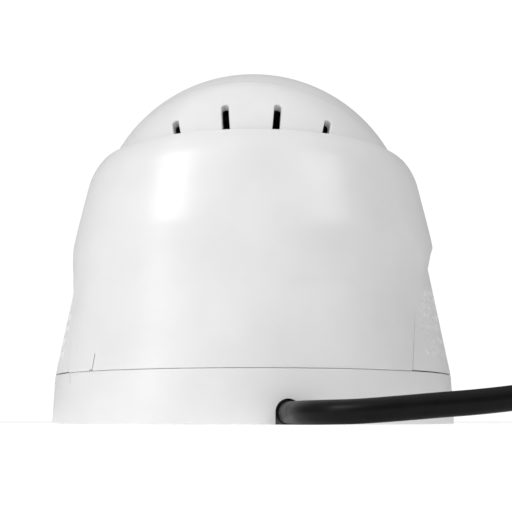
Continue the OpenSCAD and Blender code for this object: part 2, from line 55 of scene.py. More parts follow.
def clear_selection():
    if bpy.context.object and bpy.context.object.mode != "OBJECT":
        bpy.ops.object.mode_set(mode="OBJECT")
    bpy.ops.object.select_all(action="DESELECT")


def pick(piece):
    """Makes one piece the only one selected and the active one."""
    clear_selection()
    piece.select_set(True)
    bpy.context.view_layer.objects.active = piece
    return piece


def settle(piece, name):
    """Names a piece and puts its place into its mesh."""
    pick(piece)
    bpy.ops.object.transform_apply(location=True, rotation=True, scale=True)
    piece.name = name
    piece.data.name = name
    return piece


def tidy_faces(piece):
    """Merges doubled points and turns every face outwards."""
    pick(piece)
    bpy.ops.object.mode_set(mode="EDIT")
    bpy.ops.mesh.select_all(action="SELECT")
    bpy.ops.mesh.remove_doubles(threshold=2e-6)
    bpy.ops.mesh.normals_make_consistent(inside=False)
    bpy.ops.object.mode_set(mode="OBJECT")
    return piece


def smooth(piece, angle=30):
    pick(piece)
    bpy.ops.object.shade_smooth_by_angle(angle=radians(angle))
    return piece


def outline_strip(name, outline, closed=True):
    """A line of points extruded one after another, from (radius, height) pairs in millimetres."""
    clear_selection()
    x, z = outline[0]
    bpy.ops.mesh.primitive_plane_add(size=0.001, location=(x * MM, 0, z * MM))
    strip = bpy.context.object
    bpy.ops.object.transform_apply(location=True)
    bpy.ops.object.mode_set(mode="EDIT")
    bpy.ops.mesh.select_all(action="SELECT")
    bpy.ops.mesh.merge(type="CENTER")
    for (x0, z0), (x1, z1) in zip(outline, outline[1:]):
        bpy.ops.mesh.extrude_region_move(
            TRANSFORM_OT_translate={"value": ((x1 - x0) * MM, 0, (z1 - z0) * MM)})
    if closed:
        bpy.ops.mesh.select_all(action="SELECT")
        bpy.ops.mesh.edge_face_add()
        bpy.ops.mesh.delete(type="ONLY_FACE")
    bpy.ops.object.mode_set(mode="OBJECT")
    strip.name = name
    return strip


def turned(name, outline, steps=128, closed=True, angle=2 * pi):
    """A piece turned on a lathe from an outline of (radius, height) pairs in millimetres."""
    piece = outline_strip(name, outline, closed)
    pick(piece)
    bpy.ops.object.mode_set(mode="EDIT")
    bpy.ops.mesh.select_all(action="SELECT")
    bpy.ops.mesh.spin(steps=steps, angle=-angle, center=(0, 0, 0), axis=(0, 0, 1))
    if angle < 2 * pi - 0.01:
        bpy.ops.mesh.select_all(action="DESELECT")
        bpy.ops.mesh.select_non_manifold()
        bpy.ops.mesh.fill_holes(sides=0)
    bpy.ops.object.mode_set(mode="OBJECT")
    return settle(tidy_faces(piece), name)


def placed(piece, place):
    """Moves a piece by a place matrix and settles it there."""
    piece.matrix_world = place @ piece.matrix_world
    return settle(piece, piece.name)


def to_lens(piece):
    """Turns a piece made with the lens along +Z into the head's rest place."""
    lean = Matrix.Rotation(pi / 2 - LENS_TILT, 4, "X")
    return placed(piece, Matrix.Translation((0, 0, AXIS_Z * MM)) @ lean)


def combine(piece, other, operation):
    """Applies one Boolean between two pieces and removes the other piece."""
    pick(piece)
    tool = piece.modifiers.new("combine", "BOOLEAN")
    tool.operation = operation
    tool.solver = "EXACT"
    tool.object = other
    bpy.ops.object.modifier_apply(modifier=tool.name)
    bpy.data.objects.remove(other, do_unlink=True)
    return piece


def cut(piece, cutter):
    """Cuts one piece out of another."""
    return combine(piece, cutter, "DIFFERENCE")


def common(piece, other):
    """Keeps what two pieces share."""
    return combine(piece, other, "INTERSECT")


def join(pieces, name):
    clear_selection()
    for piece in pieces:
        piece.select_set(True)
    bpy.context.view_layer.objects.active = pieces[0]
    bpy.ops.object.join()
    pieces[0].name = name
    return pieces[0]


def rounded_block(name, size, centre, edge=0.3, segments=2):
    """A block with rounded edges, sizes in millimetres."""
    clear_selection()
    bpy.ops.mesh.primitive_cube_add(size=1, location=[c * MM for c in centre])
    block = bpy.context.object
    block.scale = [s * MM for s in size]
    bpy.ops.object.transform_apply(location=True, rotation=True, scale=True)
    bpy.ops.object.mode_set(mode="EDIT")
    bpy.ops.mesh.select_all(action="SELECT")
    bpy.ops.mesh.bevel(offset=edge * MM, segments=segments, affect="EDGES")
    bpy.ops.object.mode_set(mode="OBJECT")
    return settle(block, name)


def round_bar(name, r, length, centre, vertices=48):
    """An upright round bar, sizes in millimetres."""
    clear_selection()
    bpy.ops.mesh.primitive_cylinder_add(vertices=vertices, radius=r * MM, depth=length * MM,
                                        location=[c * MM for c in centre])
    return settle(bpy.context.object, name)


# ---------------------------------------------------------------- camera and cord

VIEW_TURN = radians(7)
VIEW_DISTANCE = 0.335
VIEW_HEIGHT = 0.0008
AIM_HEIGHT, AIM_SHIFT = 0.0525, 0.00086
image_right = Vector((-cos(VIEW_TURN), -sin(VIEW_TURN), 0))
camera_data = bpy.data.cameras.new("view_camera")
camera_data.lens = 75.4
camera_data.sensor_width = 36
camera_data.clip_start = 0.002
camera_data.clip_end = 20
camera = bpy.data.objects.new("view_camera", camera_data)
bpy.context.scene.collection.objects.link(camera)
camera.location = (-sin(VIEW_TURN) * VIEW_DISTANCE, cos(VIEW_TURN) * VIEW_DISTANCE, VIEW_HEIGHT)
aim = Vector((0, 0, AIM_HEIGHT)) + image_right * AIM_SHIFT
camera.rotation_euler = (aim - camera.location).to_track_quat("-Z", "Y").to_euler()
bpy.context.scene.camera = camera

# The cable leaves the notch, turns along the floor to the coil, and ends in a network socket.
CABLE_R = 2.9
EXIT = (-sin(NOTCH_TURN) * 58, cos(NOTCH_TURN) * 58, 3.1)
STRAIGHT = (-sin(NOTCH_TURN) * 73, cos(NOTCH_TURN) * 73, 2.9)
ROUTE = [EXIT, (-sin(NOTCH_TURN) * 64, cos(NOTCH_TURN) * 64, 3.0), STRAIGHT] + [
    (STRAIGHT[0] + x, STRAIGHT[1] + y, CABLE_R + lift * 2 * CABLE_R) for x, y, lift in [
        (-3, 7.2, 0), (-8, 12.2, 0.005), (-14.5, 15.2, 0.03), (-22.5, 16.5, 0.12), (-32.5, 16.7, 0.26),
        (-42.5, 16.3, 0.4), (-52.5, 15.6, 0.6), (-62.5, 14.4, 0.85), (-72.5, 12.9, 1),
        (-82.5, 11.6, 1), (-92.5, 10.9, 1)]]
COIL = (STRAIGHT[0] - 100.5, STRAIGHT[1] - 18.3)
TAIL_X = COIL[0] - 40.7
BOOT_Y, SOCKET_Y, BOOT_Z = COIL[1] - 61, COIL[1] - 77, 5.2
TAIL = [(TAIL_X, COIL[1] + y, z) for y, z in [
    (-8, CABLE_R), (-18, CABLE_R), (-28, CABLE_R), (-38, 3.0), (-47, 3.6), (-55, 4.6),
    (-62, BOOT_Z), (-73, BOOT_Z)]]


def between(turn, start, end):
    """How far a turn has gone from start to end, eased, as 0 to 1."""
    t = min(1, max(0, (turn - start) / (end - start)))
    return t * t * (3 - 2 * t)


def coil_turns():
    """Down onto the floor, one turn inside, one outside it, then half a turn round both."""
    points = []
    for i in range(1, 37):
        turn = i * 22.5
        r = 29.1 + 5.8 * between(turn, 295, 330) + 5.8 * between(turn, 655, 690)
        z = 8.7 - 5.8 * between(turn, 5, 75)
        a = radians(90 + turn)
        points.append((COIL[0] + r * cos(a), COIL[1] + r * sin(a), z))
    return points


def round_cable(name, points, r):
    """A round cable along a smooth line through the points, in millimetres, and its centreline."""
    line = bpy.data.curves.new(name, "CURVE")
    line.dimensions = "3D"
    line.resolution_u = 8
    line.bevel_resolution = 6
    line.use_fill_caps = True
    spline = line.splines.new("BEZIER")
    spline.bezier_points.add(len(points) - 1)
    for knot, point in zip(spline.bezier_points, points):
        knot.co = [c * MM for c in point]
        knot.handle_left_type = knot.handle_right_type = "AUTO"
    piece = bpy.data.objects.new(name, line)
    bpy.context.scene.collection.objects.link(piece)
    bpy.context.view_layer.update()
    thin = piece.evaluated_get(bpy.context.evaluated_depsgraph_get())
    centreline = [tuple(point.co) for point in thin.to_mesh().vertices]
    thin.to_mesh_clear()
    line.bevel_depth = r * MM
    pick(piece)
    bpy.ops.object.convert(target="MESH")
    return smooth(tidy_faces(bpy.context.object), 40), centreline


cable, cable_path = round_cable("network_cable", ROUTE + coil_turns() + TAIL, CABLE_R - 0.03)
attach(cable, "base")
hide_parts("cable", "cable_coil", "cable_tail")


# ---------------------------------------------------------------- finishes

def linear(hex_colour):
    """An sRGB hex colour as linear RGBA."""
    values = [int(hex_colour[i:i + 2], 16) / 255 for i in (1, 3, 5)]
    return [v / 12.92 if v <= 0.04045 else ((v + 0.055) / 1.055) ** 2.4 for v in values] + [1]


def finish_named(name):
    """A new finish with its shader: returns the finish, its node tree and the shader node."""
    made = bpy.data.materials.new(name)
    made.use_nodes = True
    tree = made.node_tree
    return made, tree, tree.nodes["Principled BSDF"]


def add(tree, kind, settings=None, **links):
    """Adds a node. settings fill its properties and sockets, links join sockets to other outputs."""
    made = tree.nodes.new(kind)
    for key, value in (settings or {}).items():
        if isinstance(key, int) or key in made.inputs:
            made.inputs[key].default_value = value
        else:
            setattr(made, key, value)
    for key, source in links.items():
        socket = made.inputs[int(key[1:])] if key[0] == "_" else made.inputs[key.replace("_", " ")]
        tree.links.new(source, socket)
    return made


def ramp(tree, source, stops):
    """A colour ramp from (place, hex colour) stops."""
    made = add(tree, "ShaderNodeValToRGB", {}, Fac=source)
    band = made.color_ramp
    while len(band.elements) < len(stops):
        band.elements.new(0.5)
    for element, (place, colour) in zip(band.elements, stops):
        element.position = place
        element.color = linear(colour)
    return made.outputs["Color"]


def set_shader(shader, **values):
    for key, value in values.items():
        shader.inputs[key.replace("_", " ")].default_value = value


def moulded_plastic(name, low, high, rough_low, rough_high, grain_mm, depth_mm, coat=0.0, cloud_mm=18,
                    ior=1.53):
    """Injection moulded plastic: a faint cloudy tone, uneven gloss and a fine mould texture."""
    made, tree, shader = finish_named(name)
    place = add(tree, "ShaderNodeTexCoord").outputs["Object"]
    cloud = add(tree, "ShaderNodeTexNoise", {"Scale": 1000 / cloud_mm, "Detail": 3.0}, Vector=place)
    grain = add(tree, "ShaderNodeTexNoise", {"Scale": 1000 / grain_mm, "Detail": 2.0, "Roughness": 0.6},
                Vector=place)
    tree.links.new(ramp(tree, cloud.outputs["Fac"], [(0.3, low), (0.7, high)]), shader.inputs["Base Color"])
    gloss = add(tree, "ShaderNodeMapRange", {"To Min": rough_low, "To Max": rough_high},
                Value=cloud.outputs["Fac"])
    fine = add(tree, "ShaderNodeMath", {"operation": "MULTIPLY_ADD", 1: 0.06, 2: -0.03},
               _0=grain.outputs["Fac"])
    total = add(tree, "ShaderNodeMath", {"operation": "ADD"}, _0=gloss.outputs["Result"],
                _1=fine.outputs["Value"])
    tree.links.new(total.outputs["Value"], shader.inputs["Roughness"])
    bump = add(tree, "ShaderNodeBump", {"Strength": 0.5, "Distance": depth_mm * MM},
               Height=grain.outputs["Fac"])
    tree.links.new(bump.outputs["Normal"], shader.inputs["Normal"])
    set_shader(shader, IOR=ior, Coat_Weight=coat, Coat_Roughness=0.26)
    return made


def worked_metal(name, low, high, rough_low, rough_high, line_mm, stretch, depth_mm):
    """Bare metal with fine lines from rolling, turning or milling."""
    made, tree, shader = finish_named(name)
    place = add(tree, "ShaderNodeTexCoord").outputs["Object"]
    drawn = add(tree, "ShaderNodeMapping", {"Scale": stretch}, Vector=place)
    lines = add(tree, "ShaderNodeTexNoise", {"Scale": 1000 / line_mm, "Detail": 4.0},
                Vector=drawn.outputs["Vector"])
    blotch = add(tree, "ShaderNodeTexNoise", {"Scale": 1000 / 9, "Detail": 2.0}, Vector=place)
    tree.links.new(ramp(tree, blotch.outputs["Fac"], [(0.3, low), (0.7, high)]), shader.inputs["Base Color"])
    gloss = add(tree, "ShaderNodeMapRange", {"To Min": rough_low, "To Max": rough_high},
                Value=lines.outputs["Fac"])
    tree.links.new(gloss.outputs["Result"], shader.inputs["Roughness"])
    bump = add(tree, "ShaderNodeBump", {"Strength": 0.4, "Distance": depth_mm * MM},
               Height=lines.outputs["Fac"])
    tree.links.new(bump.outputs["Normal"], shader.inputs["Normal"])
    set_shader(shader, Metallic=1.0)
    return made


def coated_glass(name, tint, rough, passing, coat=0.0):
    """Clear moulded glass or acrylic with faint smudges in its gloss."""
    made, tree, shader = finish_named(name)
    place = add(tree, "ShaderNodeTexCoord").outputs["Object"]
    smear = add(tree, "ShaderNodeTexNoise", {"Scale": 1000 / 7, "Detail": 4.0}, Vector=place)
    gloss = add(tree, "ShaderNodeMapRange", {"To Min": rough, "To Max": rough + 0.06},
                Value=smear.outputs["Fac"])
    tree.links.new(gloss.outputs["Result"], shader.inputs["Roughness"])
    tree.links.new(ramp(tree, smear.outputs["Fac"], [(0.2, tint), (0.9, tint)]), shader.inputs["Base Color"])
    set_shader(shader, IOR=1.49, Transmission_Weight=passing, Coat_Weight=coat, Coat_Roughness=0.03)
    return made


# White ABS with a satin mould finish: soft wide highlights and a faint orange-peel in the gloss.
white_abs = moulded_plastic("white_satin_ABS", "#DDDDDD", "#E3E3E3", 0.32, 0.38, 0.55, 0.006, coat=0.1)
# The same ABS from a finer matt tool, a little duller, for the pierced side panels.
grille_abs = moulded_plastic("white_matt_ABS", "#DCDCDC", "#E2E2E2", 0.38, 0.46, 0.40, 0.010)
# Thin white dust cloth behind the pierced panels: fuzzy and quite dull.
filter_cloth = moulded_plastic("white_dust_cloth", "#E4E4E2", "#F2F2F0", 0.80, 0.92, 0.35, 0.060, cloud_mm=4)
# Glass-filled nylon, dark grey and matt, with a coarse speckle: yokes, turntable and head frame.
grey_nylon = moulded_plastic("grey_filled_nylon", "#3A3B3D", "#48494B", 0.50, 0.62, 0.50, 0.020)
# Black polycarbonate, finely textured, so it stays dark and only glints at its edges.
black_pc = moulded_plastic("black_textured_polycarbonate", "#0C0C0D", "#151516", 0.34, 0.46, 0.45, 0.012)
# Natural acetal, waxy off-white, as gear wheels are moulded in.
acetal = moulded_plastic("natural_acetal", "#DAD5C4", "#E6E2D3", 0.34, 0.44, 0.60, 0.006)
# Soft PVC rubber, black, with a dull bloom.
soft_pvc = moulded_plastic("black_soft_PVC", "#101011", "#1B1B1C", 0.42, 0.56, 0.50, 0.012, ior=1.5)
# Zinc-plated steel sheet with rolled grain.
zinc_steel = worked_metal("zinc_plated_steel", "#A9ABAE", "#C2C4C6", 0.24, 0.40, 0.35, (1, 8, 1), 0.004)
# Machined aluminium with fine tool marks.
milled_aluminium = worked_metal("milled_aluminium", "#C4C6C8", "#D4D6D8", 0.26, 0.42, 0.30, (1, 6, 6), 0.005)
# Gold over nickel on the socket's contacts: warm, bright and hardly scratched.
gold_plate = worked_metal("gold_plated_contact", "#C89B3C", "#E0B85A", 0.16, 0.26, 0.20, (1, 5, 1), 0.001)
# Sintered bronze, brownish yellow and slightly oily.
sintered_bronze = worked_metal("sintered_bronze", "#9A7440", "#B48C52", 0.30, 0.48, 0.25, (1, 1, 1), 0.006)
# Smoked acrylic: looks near black in front and lets a little of the lens show through.
smoked_acrylic = coated_glass("smoked_acrylic", "#2A2C31", 0.03, 0.85, coat=0.5)
# Coated optical glass.
optical_glass = coated_glass("coated_optical_glass", "#CFE0F2", 0.01, 0.92, coat=0.3)
# Red-brown infrared cut glass.
filter_glass = coated_glass("infrared_cut_glass", "#C8705F", 0.03, 0.8)


def circuit_board_finish():
    """Green solder mask over copper tracks: a gloss green with slightly lighter tracks."""
    made, tree, shader = finish_named("green_circuit_board")
    place = add(tree, "ShaderNodeTexCoord").outputs["Object"]
    tracks = add(tree, "ShaderNodeTexBrick", {"Scale": 1000 / 6.0, "Mortar Size": 0.03}, Vector=place)
    tracks.inputs["Color1"].default_value = linear("#0E4A26")
    tracks.inputs["Color2"].default_value = linear("#115430")
    tracks.inputs["Mortar"].default_value = linear("#2E8F57")
    mask = add(tree, "ShaderNodeTexNoise", {"Scale": 1000 / 2.0, "Detail": 3.0}, Vector=place)
    gloss = add(tree, "ShaderNodeMapRange", {"To Min": 0.22, "To Max": 0.38}, Value=mask.outputs["Fac"])
    tree.links.new(tracks.outputs["Color"], shader.inputs["Base Color"])
    tree.links.new(gloss.outputs["Result"], shader.inputs["Roughness"])
    bump = add(tree, "ShaderNodeBump", {"Strength": 0.5, "Distance": 0.03 * MM}, Height=tracks.outputs["Fac"])
    tree.links.new(bump.outputs["Normal"], shader.inputs["Normal"])
    return made


def cable_jacket_finish():
    """Extruded PVC jacket: black, with scuffed satin patches and a faint ripple."""
    made, tree, shader = finish_named("black_PVC_cable_jacket")
    place = add(tree, "ShaderNodeTexCoord").outputs["Object"]
    scuff = add(tree, "ShaderNodeTexNoise", {"Scale": 1000 / 5.0, "Detail": 5.0}, Vector=place)
    fine = add(tree, "ShaderNodeTexNoise", {"Scale": 1000 / 0.6, "Detail": 2.0}, Vector=place)
    tree.links.new(ramp(tree, scuff.outputs["Fac"], [(0.35, "#070708"), (0.75, "#101012")]),
                   shader.inputs["Base Color"])
    gloss = add(tree, "ShaderNodeMapRange", {"To Min": 0.30, "To Max": 0.48}, Value=scuff.outputs["Fac"])
    tree.links.new(gloss.outputs["Result"], shader.inputs["Roughness"])
    bump = add(tree, "ShaderNodeBump", {"Strength": 0.4, "Distance": 0.01 * MM}, Height=fine.outputs["Fac"])
    tree.links.new(bump.outputs["Normal"], shader.inputs["Normal"])
    set_shader(shader, IOR=1.5, Specular_IOR_Level=0.12)
    return made


circuit_board = circuit_board_finish()
cable_jacket = cable_jacket_finish()
cable.data.materials.clear()
cable.data.materials.append(cable_jacket)


def dress(piece, finish, body, slot, *nodes):
    """Gives a new piece its finish and the body it rides on, and hides the CAD nodes it stands for."""
    piece.data.materials.clear()
    piece.data.materials.append(finish)
    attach(piece, body)
    if nodes:
        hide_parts(*nodes)
    return piece


def refinish(finish, *nodes):
    """Puts a finish on CAD nodes whose shape stays."""
    for node in nodes:
        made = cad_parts[node]
        if made.data.materials:
            for i in range(len(made.data.materials)):
                made.data.materials[i] = finish
        else:
            made.data.materials.append(finish)


# ---------------------------------------------------------------- turning housing

SHOULDER = (52, 72, 18)
FRONT_HALF, FRONT_LOW = 24, 34
ARCH_TOP, ARCH_STEEP, ARCH_POWER = 53.5, 0.0048, 2.5
PANEL_SLOPE, SKIRT_SLOPE = radians(10.5), radians(9.3)
SKIRT_TOP, WAIST_R = 36, 56.1
HOUSE_MARK_TURN, PRY_TURN, BASE_MARK_TURN = radians(-39.6), radians(-40.3), radians(-51.3)
RIM_Z, RIM_FALL = 80.8, 320
RIM_TURN = 45


def house_radius_points():
    """The housing's outline from the seam to the rim, as (radius, height)."""
    skirt_end = SKIRT_R - (SKIRT_TOP + 1 - HOUSE_Z0) * tan(SKIRT_SLOPE)
    bend = [(SHOULDER[0] - SHOULDER[2] * (cos(radians(12)) - cos(radians(a))),
             SHOULDER[1] + SHOULDER[2] * (sin(radians(a)) - sin(radians(12)))) for a in range(12, 65, 4)]
    return ([(SKIRT_R, HOUSE_Z0), (skirt_end, SKIRT_TOP), ((skirt_end + WAIST_R) / 2, 40), (WAIST_R, 44.5),
             (WAIST_R, 52), (WAIST_R - 0.5, 55.8)] + bend)


def eased(points, step=0.9):
    """A smooth line through the points, with a point about every step millimetres."""
    made = []
    for i in range(len(points) - 1):
        p0 = points[max(i - 1, 0)]
        p1, p2 = points[i], points[i + 1]
        p3 = points[min(i + 2, len(points) - 1)]
        count = max(1, round(hypot(p2[0] - p1[0], p2[1] - p1[1]) / step))
        span = p2[1] - p1[1]
        m1 = (p2[0] - p0[0]) / max(p2[1] - p0[1], 1e-6) * span
        m2 = (p3[0] - p1[0]) / max(p3[1] - p1[1], 1e-6) * span
        if i == 0:
            m1 = p2[0] - p1[0]
        for k in range(count):
            t = k / count
            r = ((2 * t ** 3 - 3 * t ** 2 + 1) * p1[0] + (t ** 3 - 2 * t ** 2 + t) * m1
                 + (3 * t ** 2 - 2 * t ** 3) * p2[0] + (t ** 3 - t ** 2) * m2)
            made.append((r, p1[1] + span * t))
    return made + [points[-1]]


def pushed_bar(name, outline, low, high, along="X"):
    """A bar along X or Y with an outline in the other level direction and Z, in millimetres."""
    clear_selection()
    bpy.ops.mesh.primitive_circle_add(vertices=len(outline), radius=0.01, fill_type="NGON")
    bar = bpy.context.object
    for corner, (u, z) in zip(bar.data.vertices, outline):
        corner.co = (low * MM, u * MM, z * MM) if along == "X" else (u * MM, low * MM, z * MM)
    push = (high - low) * MM
    bpy.ops.object.mode_set(mode="EDIT")
    bpy.ops.mesh.select_all(action="SELECT")
    bpy.ops.mesh.extrude_region_move(
        TRANSFORM_OT_translate={"value": (push, 0, 0) if along == "X" else (0, push, 0)})
    bpy.ops.object.mode_set(mode="OBJECT")
    bar.name = name
    return tidy_faces(bar)


def arch_outline(grow):
    """The arch of a side panel, as (y, height), grown all round by some millimetres."""
    half = ((ARCH_TOP - HOUSE_Z0) / ARCH_STEEP) ** (1 / ARCH_POWER)
    rows = 48
    arch = []
    for i in range(-rows, rows + 1):
        y = i * half / rows
        arch.append((y * (half + grow) / half, ARCH_TOP + grow - ARCH_STEEP * abs(y) ** ARCH_POWER))
    return arch + [(half + grow, HOUSE_Z0 - 6), (-half - grow, HOUSE_Z0 - 6)]


def make_housing():
    """A turned bell, open over the ball, with a rounded foot; then the openings are cut."""
    gap_r = BALL_R + 0.7
    outer = [point for point in eased(house_radius_points()) if point[1] < 82]
    inner = []
    for r, z in reversed(outer):
        ball = sqrt(gap_r ** 2 - (z - AXIS_Z) ** 2) if abs(z - AXIS_Z) < gap_r else 0
        inner.append((min(max(r - WALL, ball), r - 0.1), z))
    outer[0] = (SKIRT_R - 0.15, HOUSE_Z0 - 0.16)
    outer.insert(1, (SKIRT_R - 0.05, HOUSE_Z0 - 0.12))
    outer.insert(2, (SKIRT_R - 0.03, HOUSE_Z0 + 0.05))
    shell = turned("housing", outer + inner, steps=256)
    rim = [(y, RIM_Z if y > RIM_TURN else RIM_Z - RIM_FALL + sqrt(RIM_FALL ** 2 - (y - RIM_TURN) ** 2))
           for y in range(-75, 76, 3)]
    cut(shell, pushed_bar("rim_tool", rim + [(75, 95), (-75, 95)], -75, 75))
    for low, high in ((30, 75), (-75, -30)):
        cut(shell, pushed_bar("arch_tool", arch_outline(0), low, high))
    bottom = [(FRONT_HALF * cos(radians(a)), FRONT_LOW + FRONT_HALF + FRONT_HALF * sin(radians(a)))
              for a in range(180, 361, 5)]
    front = bottom + [(FRONT_HALF, 110), (-FRONT_HALF, 110)]
    cut(shell, pushed_bar("front_tool", front, -80, -20, along="Y"))
    mark = rounded_block("mark_tool", (0.4, 3, 5.6), (0, SKIRT_R - 0.1, HOUSE_Z0 + 1.8), edge=0.1)
    mark.rotation_euler.z = HOUSE_MARK_TURN
    cut(shell, settle(mark, "mark_tool"))
    notch = rounded_block("pry_tool", (1.6, 3, 1.3), (0, SKIRT_R + 0.7, HOUSE_Z0 - 0.35), edge=0.1)
    notch.rotation_euler.z = PRY_TURN
    cut(shell, settle(notch, "pry_tool"))
    tidy_faces(shell)
    return dress(smooth(shell, 32), white_abs, "pan_unit", "white_shell", "housing_shell")


def side_sector(name, outline, grow):
    """A turned sector on the +X side, trimmed to the arch."""
    part = turned(name, outline, steps=84, angle=radians(84))
    part.rotation_euler.z = radians(-42)
    settle(part, name)
    return common(part, pushed_bar("arch_tool", arch_outline(grow), 30, 75))


def copy_of(piece, name):
    made = piece.copy()
    made.data = piece.data.copy()
    made.name = name
    bpy.context.scene.collection.objects.link(made)
    return made


KNEE_Z = ARCH_TOP - 6.5
KNEE_R = SKIRT_R - 0.05 - (KNEE_Z - HOUSE_Z0) * tan(PANEL_SLOPE)
BROW_R = 55.7
PANEL_T, PANEL_GAP = 1.5, 0.45
# The grille holes: radius, step up, step round in degrees, half the field in degrees, and each row's rise.
HOLE_R, HOLE_RISE, HOLE_TURN, FIELD_TURN = 0.85, 3.8, 3.9, 27.5
ROW_RISES = (0, 1, 1.95, 2.84, 3.53, 4.13, 4.66)


def make_grilles():
    """Pierced side panels with countersunk holes, each with a dust cloth behind it."""
    foot = HOUSE_Z0 + 0.05
    face = SKIRT_R - 0.05
    panel = side_sector("grille_panel_right", [
        (face - PANEL_T, foot), (face, foot), (KNEE_R, KNEE_Z), (BROW_R, ARCH_TOP),
        (BROW_R - PANEL_T, ARCH_TOP), (KNEE_R - PANEL_T, KNEE_Z)], -PANEL_GAP)
    drill = turned("drill", [(0, -3), (HOLE_R, -3), (HOLE_R, -0.35), (1.2, 0), (2.2, 1), (0, 1)], steps=20,
                   closed=False)
    drills = []
    for row, rise in enumerate(ROW_RISES):
        z = HOUSE_Z0 + 5.9 + rise * HOLE_RISE
        half = ((ARCH_TOP - z - 4) / ARCH_STEEP) ** (1 / ARCH_POWER)
        wide = min(FIELD_TURN, degrees(asin(min(0.95, half / (SKIRT_R - 2.4)))))
        r = face - (z - HOUSE_Z0) * tan(PANEL_SLOPE)
        side = int(wide / HOLE_TURN)
        for i in range(-side, side + 1):
            turn = (i + row % 2 / 2) * HOLE_TURN
            if abs(turn) < wide:
                hole = copy_of(drill, "drill_copy")
                hole.matrix_world = (Matrix.Rotation(radians(turn), 4, "Z")
                                     @ Matrix.Translation((r * MM, 0, z * MM))
                                     @ Matrix.Rotation(pi / 2, 4, "Y"))
                drills.append(hole)
    bpy.data.objects.remove(drill, do_unlink=True)
    tool = join(drills, "drills")
    cut(panel, settle(tool, "drills"))
    lip = side_sector("grille_lip", [(53.3, 17.4), (58.3, 17.4), (58.3, 19), (53.3, 19)], -0.5)
    panel = tidy_faces(join([panel, lip], "grille_panel_right"))
    cloth = side_sector("dust_cloth_right", [(59.25, 17), (59.45, 17), (54.95, 41.3), (54.75, 41.3)], -2)
    smooth(panel, 32)
    smooth(cloth, 32)
    for part, finish, nodes in ((panel, grille_abs, ["grille_right"]), (cloth, filter_cloth, [])):
        other = copy_of(part, part.name.replace("right", "left"))
        other.matrix_world = Matrix.Rotation(pi, 4, "Z")
        settle(other, other.name)
        dress(part, finish, "pan_unit", "white_grille", *nodes)
        dress(other, finish, "pan_unit", "white_grille", *[node.replace("right", "left") for node in nodes])


POST_CIRCLE_R, POST_R, NOTCH_R = 50, 3.4, 3.4


def make_base_ring():
    """The fixed ring: a turned wall and deck with softened edges, screw posts and the cable notch."""
    ring = turned("base_wall", [
        (58.7, 0), (58.6, 0.1), (58.6, 9), (34, 9), (34, 11), (58, 11), (58, 14.3), (58.1, 14.4),
        (59.9, 14.4), (60.1, 14.36), (60.26, 14.26), (60.37, 14.1), (60.42, 13.9), (61, 0.55), (60.97, 0.3),
        (60.85, 0.1), (60.6, 0)], steps=256)
    posts = []
    for a in range(45, 360, 90):
        x, y = POST_CIRCLE_R * cos(radians(a)), POST_CIRCLE_R * sin(radians(a))
        post = round_bar("post", POST_R, 6.9, (x, y, 5.5))
        posts.append(cut(post, round_bar("pilot", 1.25, 10, (x, y, 5), vertices=32)))
    arch = [(NOTCH_R * cos(radians(a)), 3.2 + NOTCH_R * sin(radians(a))) for a in range(0, 181, 10)]
    way = pushed_bar("notch_tool", arch + [(-NOTCH_R, -1), (NOTCH_R, -1)], 53, 73, along="Y")
    way.rotation_euler.z = NOTCH_TURN
    cut(ring, settle(way, "notch_tool"))
    mark = rounded_block("base_mark_tool", (0.3, 3, 6), (0, SKIRT_R + 1.2, SEAM_Z), edge=0.05)
    mark.rotation_euler.z = BASE_MARK_TURN
    cut(ring, settle(mark, "base_mark_tool"))
    ring = tidy_faces(join([ring] + posts, "base_wall"))
    return dress(smooth(ring, 32), white_abs, "base", "white_shell", "base_ring")


make_base_ring()
make_housing()
make_grilles()


# ---------------------------------------------------------------- ball head

# Turns a piece made round +Z so that it lies round the tilt axis, starting behind the lens.
LAID = Matrix(((0, 0, 1, 0), (1, 0, 0, 0), (0, 1, 0, 0), (0, 0, 0, 1)))
HEAD = Matrix.Translation((0, 0, AXIS_Z * MM)) @ Matrix.Rotation(-LENS_TILT, 4, "X")
# The ball is cut flat on both sides, this far from its middle, to pass between the yokes.
FLAT_X = 43.5


def ball_part(name, start, end):
    """Part of the ball's skin, between two angles turned from the lens's back over its top."""
    def line(r):
        half = FLAT_X if r > FLAT_X else r
        edge = degrees(asin(half / r))
        return [(r * cos(radians(a)), r * sin(radians(a)))
                for a in [-edge + 2 * edge * i / 72 for i in range(73)]]
    outline = line(BALL_R - 0.02) + line(BALL_R - WALL)[::-1]
    part = turned(name, outline, steps=round((end - start) / 1.5), angle=radians(end - start))
    return placed(part, HEAD @ LAID @ Matrix.Rotation(radians(start), 4, "Z"))


# The vent slots: how far their pattern is turned, their spacing and their ends, in degrees.
SLOT_TURN, SLOT_STEP, SLOT_LOW, SLOT_HIGH = 6.2, 18.6, 36, 72.6
# Half a slot's width, and the radius at which its broken edge begins.
SLOT_HALF, SLOT_EDGE = 1.05, 49.05


